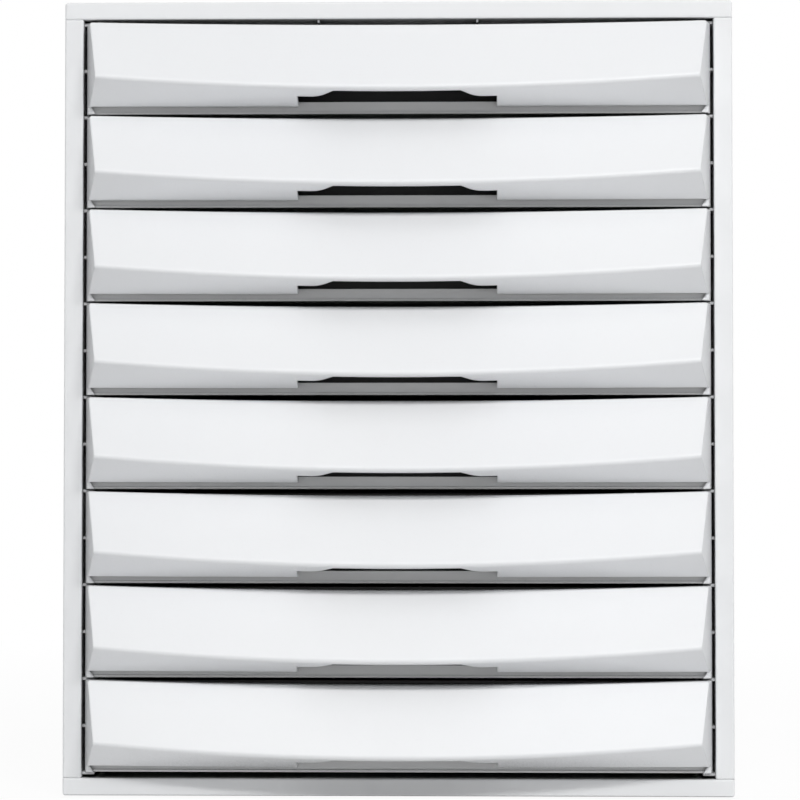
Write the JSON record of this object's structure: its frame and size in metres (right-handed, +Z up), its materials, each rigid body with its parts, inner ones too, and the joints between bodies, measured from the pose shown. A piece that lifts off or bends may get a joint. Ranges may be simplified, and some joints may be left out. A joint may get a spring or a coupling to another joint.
{
  "type": "filing drawer unit",
  "caption": "Free-standing light plastic filing unit with a stack of shallow document drawers; bowed, leaning fronts with finger cut-outs slide out on side ribs.",
  "frame": {"origin": "middle of the overall footprint, on the table under the pads", "axes": "+X to the unit's right as seen from the front, +Y to its back, +Z up; the drawers open along -Y"},
  "size_m": [0.28, 0.3752, 0.333],
  "materials": {
    "case_plastic": "fine matt grain",
    "back_plastic": "matt",
    "tray_plastic": "satin",
    "front_plastic": "satin gloss",
    "screw_steel": "zinc plated",
    "pad_rubber": "matt"
  },
  "bodies": {
    "case": {"top_panel": "case_plastic", "bottom_panel": "case_plastic", "left_side_panel": "case_plastic", "right_side_panel": "case_plastic", "back_panel": "back_plastic", "back_panel_screws": "screw_steel", "anti_slip_pads": "pad_rubber"},
    "drawer_1": {"drawer_tray_1": "tray_plastic", "drawer_front_1": "front_plastic"},
    "drawer_2": {"drawer_tray_2": "tray_plastic", "drawer_front_2": "front_plastic"},
    "drawer_3": {"drawer_tray_3": "tray_plastic", "drawer_front_3": "front_plastic"},
    "drawer_4": {"drawer_tray_4": "tray_plastic", "drawer_front_4": "front_plastic"},
    "drawer_5": {"drawer_tray_5": "tray_plastic", "drawer_front_5": "front_plastic"},
    "drawer_6": {"drawer_tray_6": "tray_plastic", "drawer_front_6": "front_plastic"},
    "drawer_7": {"drawer_tray_7": "tray_plastic", "drawer_front_7": "front_plastic"},
    "drawer_8": {"drawer_tray_8": "tray_plastic", "drawer_front_8": "front_plastic"}
  },
  "joints": [
    {"name": "drawer_1_slide", "type": "slide", "parent": "case", "child": "drawer_1", "axis": [0, -1, 0], "range_m": [0, 0.2725]},
    {"name": "drawer_2_slide", "type": "slide", "parent": "case", "child": "drawer_2", "axis": [0, -1, 0], "range_m": [0, 0.2725]},
    {"name": "drawer_3_slide", "type": "slide", "parent": "case", "child": "drawer_3", "axis": [0, -1, 0], "range_m": [0, 0.2725]},
    {"name": "drawer_4_slide", "type": "slide", "parent": "case", "child": "drawer_4", "axis": [0, -1, 0], "range_m": [0, 0.2725]},
    {"name": "drawer_5_slide", "type": "slide", "parent": "case", "child": "drawer_5", "axis": [0, -1, 0], "range_m": [0, 0.2725]},
    {"name": "drawer_6_slide", "type": "slide", "parent": "case", "child": "drawer_6", "axis": [0, -1, 0], "range_m": [0, 0.2725]},
    {"name": "drawer_7_slide", "type": "slide", "parent": "case", "child": "drawer_7", "axis": [0, -1, 0], "range_m": [0, 0.2725]},
    {"name": "drawer_8_slide", "type": "slide", "parent": "case", "child": "drawer_8", "axis": [0, -1, 0], "range_m": [0, 0.2725]}
  ]
}
